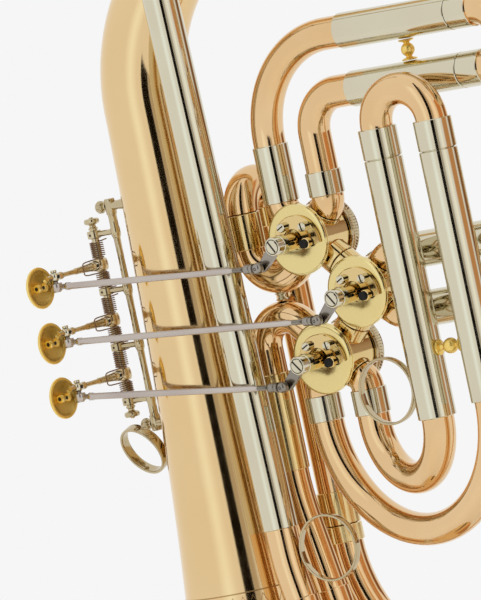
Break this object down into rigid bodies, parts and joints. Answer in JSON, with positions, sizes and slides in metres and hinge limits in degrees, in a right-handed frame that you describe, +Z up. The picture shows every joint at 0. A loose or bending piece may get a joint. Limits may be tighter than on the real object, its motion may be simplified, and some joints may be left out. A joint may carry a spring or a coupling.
{
  "type": "bass trumpet",
  "caption": "Bass trumpet with rotary valves worked by finger keys, pull-out valve slides, finger rings and a bell that it stands on.",
  "frame": {"origin": "centre of the bell's rim, on the plane it stands on", "axes": "+Z up along the bell's axis, towards its stem; +X across the valves towards the slides; -Y the side the valve covers face"},
  "size_m": [0.2822, 0.18, 0.5777],
  "materials": {
    "rose_brass": "lacquered, mirror bright",
    "gold_brass": "lacquered, bright",
    "yellow_brass": "turned and lacquered",
    "gilt": "gold plated",
    "rod_nickel": "satin nickel",
    "spring_bronze": "drawn wire",
    "nickel_silver": "polished"
  },
  "bodies": {
    "body": {"bell": "rose_brass", "bell_bow": "rose_brass", "return_tube": "rose_brass", "branch_tube": "rose_brass", "slide_1_outer_leg": "rose_brass", "slide_1_inner_leg": "rose_brass", "slide_2_upper_leg": "rose_brass", "slide_2_lower_leg": "rose_brass", "slide_3_inner_leg": "rose_brass", "slide_3_outer_leg": "rose_brass", "leadpipe": "rose_brass", "tuning_return": "rose_brass", "branch_bow": "gold_brass", "valve_casing_1": "gold_brass", "valve_casing_2": "gold_brass", "valve_casing_3": "gold_brass", "bumper_plate_1": "gold_brass", "bumper_plate_2": "gold_brass", "bumper_plate_3": "gold_brass", "valve_cover_1": "yellow_brass", "valve_cover_2": "yellow_brass", "valve_cover_3": "yellow_brass", "slide_1_brace": "gilt", "slide_3_brace": "gilt", "valve_cap_1": "nickel_silver", "valve_cap_2": "nickel_silver", "valve_cap_3": "nickel_silver", "key_axle": "nickel_silver", "key_rail": "nickel_silver", "thumbscrew_upper": "nickel_silver", "thumbscrew_lower": "nickel_silver", "mouthpiece_receiver": "nickel_silver", "thumb_ring": "nickel_silver", "slide_3_ring": "nickel_silver", "little_finger_ring": "nickel_silver", "bow_brace": "nickel_silver", "leadpipe_brace": "nickel_silver"},
    "key_1": {"lever_1": "nickel_silver", "finger_plate_1": "gilt", "key_spring_1": "spring_bronze"},
    "link_1": {"rod_1": "rod_nickel"},
    "rotor_1": {"valve_rotor_1": "yellow_brass", "stop_arm_1": "nickel_silver"},
    "key_2": {"lever_2": "nickel_silver", "finger_plate_2": "gilt", "key_spring_2": "spring_bronze"},
    "link_2": {"rod_2": "rod_nickel"},
    "rotor_2": {"valve_rotor_2": "yellow_brass", "stop_arm_2": "nickel_silver"},
    "key_3": {"lever_3": "nickel_silver", "finger_plate_3": "gilt", "key_spring_3": "spring_bronze"},
    "link_3": {"rod_3": "rod_nickel"},
    "rotor_3": {"valve_rotor_3": "yellow_brass", "stop_arm_3": "nickel_silver"},
    "first_slide": {"slide_1": "rose_brass"},
    "second_slide": {"slide_2": "rose_brass"},
    "third_slide": {"slide_3": "rose_brass"},
    "main_tuning_slide": {"tuning_slide": "rose_brass"},
    "mouthpiece": {"mouthpiece": "nickel_silver"}
  },
  "joints": [
    {"name": "key_1_press", "type": "hinge", "parent": "body", "child": "key_1", "pos_m": [-0.0397, -0.002, 0.2923], "axis": [0, 0, 1], "range_deg": [0, 32.5], "stiffness_Nm_per_rad": 0.04, "springref_deg": -20.05, "deforming": ["key_spring_1"]},
    {"name": "link_1_swing", "type": "hinge", "parent": "key_1", "child": "link_1", "pos_m": [-0.04119, -0.03046, 0.2882], "axis": [0, 0, 1], "range_deg": [-34.36, 0]},
    {"name": "rotor_1_turn", "type": "hinge", "parent": "body", "child": "rotor_1", "pos_m": [0.0703, -0.012, 0.29], "axis": [0, -1, 0], "range_deg": [0, 90.01]},
    {"name": "key_2_press", "type": "hinge", "parent": "body", "child": "key_2", "pos_m": [-0.0397, -0.002, 0.2694], "axis": [0, 0, 1], "range_deg": [0, 32.5], "stiffness_Nm_per_rad": 0.04, "springref_deg": -20.05, "deforming": ["key_spring_2"]},
    {"name": "link_2_swing", "type": "hinge", "parent": "key_2", "child": "link_2", "pos_m": [-0.04119, -0.03046, 0.2653], "axis": [0, 0, 1], "range_deg": [-34.36, 0]},
    {"name": "rotor_2_turn", "type": "hinge", "parent": "body", "child": "rotor_2", "pos_m": [0.0946, -0.012, 0.2657], "axis": [0, -1, 0], "range_deg": [0, 90.01]},
    {"name": "key_3_press", "type": "hinge", "parent": "body", "child": "key_3", "pos_m": [-0.0397, -0.002, 0.2469], "axis": [0, 0, 1], "range_deg": [0, 32.5], "stiffness_Nm_per_rad": 0.04, "springref_deg": -20.05, "deforming": ["key_spring_3"]},
    {"name": "link_3_swing", "type": "hinge", "parent": "key_3", "child": "link_3", "pos_m": [-0.04119, -0.03046, 0.2428], "axis": [0, 0, 1], "range_deg": [-34.36, 0]},
    {"name": "rotor_3_turn", "type": "hinge", "parent": "body", "child": "rotor_3", "pos_m": [0.0703, -0.012, 0.2414], "axis": [0, -1, 0], "range_deg": [0, 90.01]},
    {"name": "first_slide_pull", "type": "slide", "parent": "body", "child": "first_slide", "axis": [1, 0, 0], "range_m": [0, 0.035]},
    {"name": "second_slide_pull", "type": "slide", "parent": "body", "child": "second_slide", "axis": [0.9877, 0.1564, 0], "range_m": [0, 0.018]},
    {"name": "third_slide_pull", "type": "slide", "parent": "body", "child": "third_slide", "axis": [0, 0, 1], "range_m": [0, 0.04]},
    {"name": "tuning_slide_pull", "type": "slide", "parent": "body", "child": "main_tuning_slide", "axis": [0.1736, 0, -0.9848], "range_m": [0, 0.018]},
    {"name": "mouthpiece_pull", "type": "slide", "parent": "body", "child": "mouthpiece", "axis": [-0.029, 0.01, 0.9995], "range_m": [0, 0.02]}
  ],
  "couplings": [
    {"joint": "link_1_swing", "follows": "key_1_press", "ratio": -1.057},
    {"joint": "rotor_1_turn", "follows": "key_1_press", "ratio": 2.7692},
    {"joint": "link_2_swing", "follows": "key_2_press", "ratio": -1.057},
    {"joint": "rotor_2_turn", "follows": "key_2_press", "ratio": 2.7692},
    {"joint": "link_3_swing", "follows": "key_3_press", "ratio": -1.057},
    {"joint": "rotor_3_turn", "follows": "key_3_press", "ratio": 2.7692}
  ]
}
